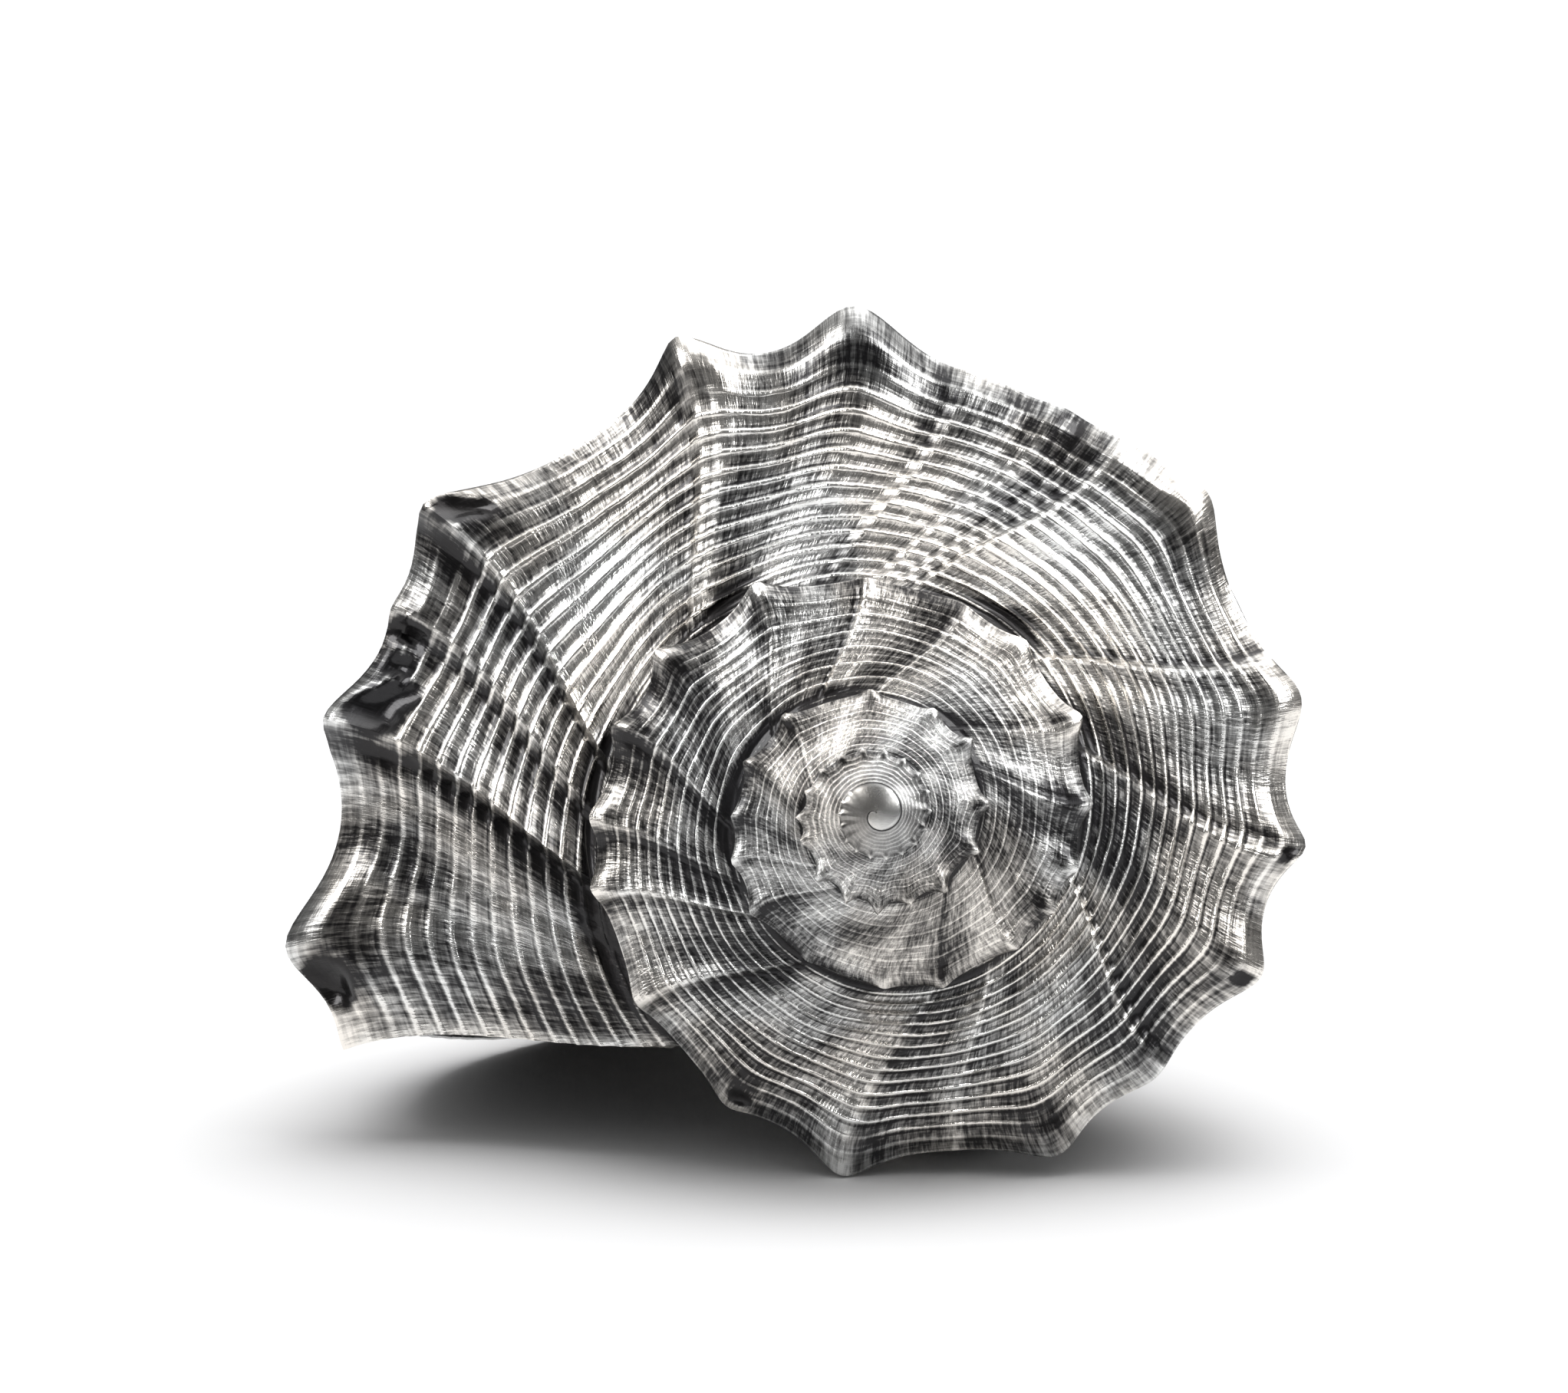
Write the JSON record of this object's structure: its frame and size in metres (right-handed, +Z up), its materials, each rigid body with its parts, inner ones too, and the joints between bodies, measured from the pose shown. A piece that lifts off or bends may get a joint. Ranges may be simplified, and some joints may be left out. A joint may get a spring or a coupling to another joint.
{
  "type": "whelk shell",
  "caption": "Left-handed whelk shell under antique silver plate, with a low knobbed spire, spiral cords, a wide aperture and a long open canal.",
  "frame": {"origin": "under the middle of the shell's box, on the surface it lies on", "axes": "the apex of the spire points to -Y and the canal to +Y, the shell lies on its aperture side, and +Z is up"},
  "size_m": [0.0984, 0.1539, 0.0811],
  "materials": {
    "silver": "antique silver plate, bright on the ridges and dark in the grooves"
  },
  "bodies": {
    "root": {"shell": "silver"}
  },
  "joints": []
}
